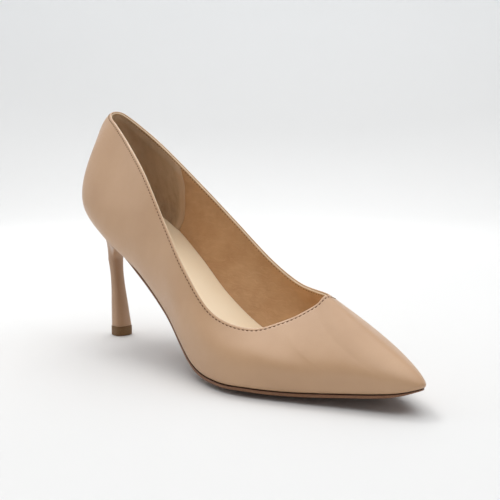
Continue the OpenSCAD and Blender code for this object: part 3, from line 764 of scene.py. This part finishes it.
sock_u = np.concatenate([
    np.linspace(0.02, 0.5, 14), np.linspace(0.5, 10, 150)[1:], np.linspace(10, 10.75, 20)[1:],
])
left, right = wall_foot(sock_u, SOCK_Z + 0.3), wall_foot(RIBS - sock_u, SOCK_Z + 0.3)
shares = np.concatenate([[0.0, 0.006, 0.016, 0.035], np.linspace(0.07, 0.93, 20), [0.965, 0.984, 0.994, 1.0]])
plan = left[:, None] * (1 - shares)[None, :, None] + right[:, None] * shares[None, :, None]
across_w = np.linalg.norm(left - right, axis=1)[:, None]
edge_mm = np.minimum(shares, 1 - shares)[None, :] * across_w
drop = 0.32 * np.clip(1 - edge_mm / 0.7, 0, 1) ** 2
cup = 0.9 * np.exp(-edge_mm / 3.5) * ramp((3.6 - from_heel(sock_u)[:, None]) / 2)
top = over_sole(plan, SOCK_Z + SOCK_T - drop + cup)
bottom = over_sole(plan[:, ::-1], np.full(plan.shape[:2], SOCK_Z))
ring = np.concatenate([top, bottom], 1)
n_rows, m = len(sock_u), ring.shape[1]
faces = grid_faces(n_rows, m, False, True) + ring_caps(n_rows, m)
add_piece("sock_leather", ring.reshape(-1, 3), faces, sock_mat, "sock_lining")

# ---- outsole ---------------------------------------------------------------------------


def outsole_t(x):
    """Thickness: thinner at the waist, and skived towards the tip."""
    fore = ramp((x - 95) / 45)
    return OUTSOLE_WAIST_T + (OUTSOLE_T - OUTSOLE_WAIST_T) * fore - 0.3 * ramp((x - 195) / 45)


def sole_inset(x):
    """The sole is flush along the forepart and the waist, tucked in at the tip and the heel seat."""
    return (0.4 - 0.45 * ramp((140 - x) / 30) + 0.35 * ramp((110 - x) / 20)
            + 3 * ramp((72 - x) / 25) + 0.6 * ramp((x - 226) / 12))


def sole_side(u):
    """The outsole's own edge in plan."""
    return edge_inset(u, sole_inset(edge_inset(u, np.zeros(len(u)))[:, 0]))


sole_u = np.concatenate([np.linspace(9.5 / 3, 10.3, 190), np.linspace(10.3, 10.985, 24)[1:]])
edge_l, edge_r = sole_side(sole_u), sole_side(RIBS - sole_u)
top_n = 25
shares = np.linspace(0, 1, top_n)
plan = edge_l[:, None] * (1 - shares)[None, :, None] + edge_r[:, None] * shares[None, :, None]
thick = outsole_t(plan[..., 0]) * (1 - 0.6 * ramp((plan[..., 0] - 228) / 14))
top = over_sole(plan, np.full(thick.shape, -OUTSOLE_DROP))
bottom = over_sole(plan, -OUTSOLE_DROP - thick)
bottom[..., 2] = np.maximum(bottom[..., 2], 0)
arc = np.linspace(0, math.pi, 9)[1:-1]
wall = []
for side, at in ((1, -1), (-1, 0)):
    a, b = top[:, at], bottom[:, at]
    out = unit(edge_r - edge_l) * side
    tall = np.linalg.norm(a - b, axis=1)
    bulge = np.minimum(0.32, tall * 0.25)
    pts = []
    for k in arc:
        share = (1 - np.cos(k)) / 2
        p = a * (1 - share) + b * share
        p[:, :2] += out * (bulge * (np.sin(k) ** 0.6))[:, None]
        pts.append(p)
    wall.append(np.stack(pts, 1))
ring = np.concatenate([top, wall[0], bottom[:, ::-1], wall[1][:, ::-1]], 1)
n_rows, m = len(sole_u), ring.shape[1]
# painted shade: a dark line painted along the crease under the upper
cut = np.zeros((n_rows, m))
cut[:, [0, top_n - 1, top_n, m - 1]] = 1
cut[:, [top_n + 1, m - 2]] = 0.35
faces = grid_faces(n_rows, m, False, True) + ring_caps(n_rows, m)
add_piece("outsole_sheet", ring.reshape(-1, 3), faces, outsole_mat, "outsole", masks={"cut": cut})

# ---- heel ------------------------------------------------------------------------------

RING_N = 96


def heel_section(ring, t):
    """Section of the heel: round at the back, flatter at the breast."""
    z, cx, back, front, half = ring
    a = math.pi - 2 * math.pi * np.arange(RING_N) / RING_N
    c = np.cos(a)
    reach = np.where(c < 0, (back - t) * c, (front - t) * np.abs(c) ** 0.5)
    return np.stack([cx + reach, (half - t) * np.sin(a), np.full(RING_N, z)], -1)


def seat_plan(t):
    """Outline of the heel's top, cut in by t: along the seat, then across the breast."""
    share = 11 / 16
    k = np.arange(RING_N)
    k = np.where(k > RING_N / 2, RING_N - k, k) / (RING_N / 2)
    outer_side = np.arange(RING_N) > RING_N / 2
    u = BREAST_U * np.minimum(1, k / share)
    corner = edge_inset(np.where(outer_side, u, RIBS - u), np.full(RING_N, 1.2 + t))
    j = np.maximum(0, k - share) / (1 - share)
    breast = np.stack([BREAST_X - t + BREAST_BOW * (1 - (1 - j) ** 2), corner[:, 1] * (1 - j)], -1)
    return np.where((k <= share)[:, None], corner, breast)


def spline_rings(z):
    """Heel sections at the heights z, on a smooth line through the drawn ones."""
    r = HEEL_RINGS
    m = np.gradient(r[:, 1:], r[:, 0], axis=0)
    rows = []
    for h in z:
        k = int(np.clip(np.searchsorted(r[:, 0], h, side="right") - 1, 0, len(r) - 2))
        w = r[k + 1, 0] - r[k, 0]
        t = (h - r[k, 0]) / w
        rows.append([h, *(
            (2 * t**3 - 3 * t**2 + 1) * r[k, 1:] + (t**3 - 2 * t**2 + t) * w * m[k]
            + (3 * t**2 - 2 * t**3) * r[k + 1, 1:] + (t**3 - t**2) * w * m[k + 1]
        )])
    return rows


def heel_skin(t):
    """The heel's outside, cut in by t: drawn sections up the stem, then curves out to the seat."""
    stem = [heel_section(r, t) for r in spline_rings(np.linspace(LIFT_H + 0.05, 48, 46))]
    low = stem[-1]
    seat = seat_plan(t)
    rim = over_sole(seat, np.full(RING_N, -SEAT_DROP - 1 + t))
    flare = []
    for s in np.linspace(0, 1, 34)[1:]:
        rise = rim[:, 2] - low[:, 2]
        b = low + np.stack([0 * rise, 0 * rise, 0.62 * rise], -1)
        c = np.stack([rim[:, 0] * 0.62 + low[:, 0] * 0.38, rim[:, 1] * 0.62 + low[:, 1] * 0.38,
                      rim[:, 2] - 0.1 * rise], -1)
        flare.append((1 - s) ** 3 * low + 3 * s * (1 - s) ** 2 * b + 3 * s**2 * (1 - s) * c + s**3 * rim)
    return np.array(stem + flare + [over_sole(seat, np.full(RING_N, -SEAT_DROP))])


outer_heel, inner_heel = heel_skin(0), heel_skin(COVER_T)
ring = np.concatenate([outer_heel[::-1], inner_heel], 0).transpose(1, 0, 2)
add_piece("heel_leather", ring.reshape(-1, 3), grid_faces(RING_N, ring.shape[1], True, True), heel_mat,
          "heel_cover")

# ---- top lift --------------------------------------------------------------------------

foot = HEEL_RINGS[0]
levels = [(0, -0.25), (0.06, 0.05), (0.3, 0.2), (1.5, 0.24), (3, 0.24), (4.6, 0.24), (5.6, 0.22), (5.85, 0.1),
          (LIFT_H, -0.15)]
rings = [heel_section([z, *foot[1:]], -grow) for z, grow in levels]
ring = np.array(rings)
n_rows = len(levels)
faces = grid_faces(n_rows, RING_N, False, True)
for r in (0, n_rows - 1):
    b = r * RING_N
    faces += [[b + j, b + j + 1, b + (RING_N - j - 1) % RING_N, b + (RING_N - j) % RING_N]
              for j in range(1, RING_N // 2 - 1)]
    faces += [[b, b + 1, b + RING_N - 1], [b + RING_N // 2 - 1, b + RING_N // 2, b + RING_N // 2 + 1]]
add_piece("top_lift_rubber", ring.reshape(-1, 3), faces, lift_mat, "top_lift")

# ---- pieces inside the shoe, kept from the CAD -----------------------------------------

plastic = board("stiffener_sheet", srgb(222, 214, 196), srgb(202, 192, 172), 0.6, 0.6, 0.02)
bright = steel("bright_steel", (0.62, 0.63, 0.65), 0.14)
spring = steel("spring_steel", (0.45, 0.48, 0.53), 0.1)
dressed = {
    "toe_puff": plastic,
    "heel_counter": board("counter_sheet", srgb(196, 184, 160), srgb(176, 164, 140), 0.7, 0.65, 0.03),
    "topline_tape": board("woven_tape", srgb(236, 234, 228), srgb(210, 208, 200), 0.4, 0.8, 0.08),
    "insole_board": board("insole_fibre", srgb(178, 150, 112), srgb(140, 114, 82), 0.8, 0.85, 0.06),
    "shank_board": board("shank_fibre", srgb(150, 122, 88), srgb(112, 90, 64), 0.9, 0.85, 0.06),
    "bottom_filler": board("felt_filler", srgb(122, 104, 82), srgb(88, 74, 58), 1.2, 0.95, 0.2),
    "sock_foam": board("foam_sheet", srgb(238, 230, 206), srgb(220, 210, 184), 0.5, 0.9, 0.15),
    "heel_block": board("heel_plastic", srgb(240, 234, 216), srgb(228, 220, 200), 3, 0.35, 0.01),
    "shank_spring": spring,
    "shank_rivets": bright,
    "heel_tube": spring,
    "heel_nails": bright,
    "heel_screw": bright,
    "top_lift_pin": bright,
}
for name, material in dressed.items():
    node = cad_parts[name]
    if not node.material_slots:
        node.data.materials.append(material)
    for place in node.material_slots:
        place.link = "OBJECT"
        place.material = material

# ---- studio ----------------------------------------------------------------------------

SKY = 0.235
AT_SHOE, AT_WALL = (0, 0, 0.05), (-1.45, 1.37, 0.7)
# name, place, aim, width and height (m), power (W)
LAMPS = [
    ("top", (0.0, 0.1, 1.5), AT_SHOE, (2.3, 2.3), 27.3),
    ("key", (-0.6, 0.1, 1.1), AT_SHOE, (0.35, 0.35), 3.2),
    ("left", (-0.9, -0.75, 0.7), AT_SHOE, (0.8, 0.8), 1.2),
    ("front", (0.95, -0.95, 0.9), AT_SHOE, (0.8, 0.8), 0.8),
    ("back", (-0.75, 0.85, 0.9), AT_SHOE, (0.8, 0.8), 2.4),
    ("wall", (-0.5, 0.47, 1.1), AT_WALL, (1.2, 0.6), 3.5),
]
FLOOR, WALL, FRONT_WALL = (0.76, 0.76, 0.755), (0.84, 0.85, 0.855), (0.3, 0.3, 0.31)


def backdrop():
    """A wide pale floor that curves up into a wall all the way round."""
    flat, bend, tall = 1.1, 0.9, 1.2
    profile = [(flat - 0.1, 0), (flat, 0)]
    arc = np.linspace(0, math.pi / 2, 17)[1:]
    profile += [(flat + bend * math.sin(a), bend * (1 - math.cos(a))) for a in arc]
    profile += [(flat + bend, bend + tall)]
    sides = 96
    turn = [2 * math.pi * k / sides for k in range(sides)]
    verts = [(r * math.cos(a), r * math.sin(a), z) for r, z in profile for a in turn]
    faces = [[j, j - m, i - m, i] for m in [sides] for row in range(1, len(profile))
             for i, j in [(row * m + k, row * m + (k + 1) % m) for k in range(m)]]
    faces.append(list(range(sides)))
    mesh = bpy.data.meshes.new("studio_floor")
    mesh.from_pydata(verts, [], faces)
    mesh.shade_smooth()
    obj = bpy.data.objects.new("studio_floor", mesh)
    bpy.context.scene.collection.objects.link(obj)
    s = Shader("paper")
    height = s.node("ShaderNodeSeparateXYZ", {0: s.mm}, output=2)
    front = s.node("ShaderNodeVectorMath", {0: s.mm, 1: (0.72, -0.69, 0)}, output=1, operation="DOT_PRODUCT")
    color = s.mix(s.remap(height, 0, 700, 0, 1, True), FLOOR, WALL)
    shade = s.math("MULTIPLY", s.remap(height, 60, 500, 0, 1, True), s.remap(front, -300, 900, 0, 1, True))
    color = s.mix(shade, color, FRONT_WALL)
    mesh.materials.append(s.set(color=color, rough=0.9, spec=0.1))


def soft_box(name, place, aim, size, power):
    lamp = bpy.data.lights.new(name, "AREA")
    lamp.shape = "RECTANGLE"
    lamp.size, lamp.size_y = size
    lamp.energy = power
    obj = bpy.data.objects.new(name, lamp)
    obj.location = place
    obj.rotation_euler = (Vector(aim) - Vector(place)).to_track_quat("-Z", "Y").to_euler()
    bpy.context.scene.collection.objects.link(obj)


backdrop()
world = bpy.data.worlds.new("soft_sky")
world.use_nodes = True
world.node_tree.nodes["Background"].inputs[0].default_value = (0.95, 0.97, 1, 1)
world.node_tree.nodes["Background"].inputs[1].default_value = SKY
bpy.context.scene.world = world
for lamp in LAMPS:
    soft_box(*lamp)

# ---- camera ----------------------------------------------------------------------------

azimuth, elevation, distance = math.radians(46.5), math.radians(6.75), 0.4127
target = Vector(((120 - ORIGIN[0]) / 1000, -ORIGIN[1] / 1000, 0.060))
back = Vector((math.sin(azimuth) * math.cos(elevation), -math.cos(azimuth) * math.cos(elevation),
               math.sin(elevation)))
camera_data = bpy.data.cameras.new("camera")
camera_data.sensor_width = 36
camera_data.lens = 55.48
camera_data.shift_x, camera_data.shift_y = 0.034, 0.010
camera_data.clip_start, camera_data.clip_end = 0.01, 20
camera = bpy.data.objects.new("camera", camera_data)
camera.location = target + back * distance
camera.rotation_euler = (-back).to_track_quat("-Z", "Y").to_euler()
bpy.context.scene.collection.objects.link(camera)
bpy.context.scene.camera = camera
bpy.context.scene.view_settings.view_transform = "Standard"
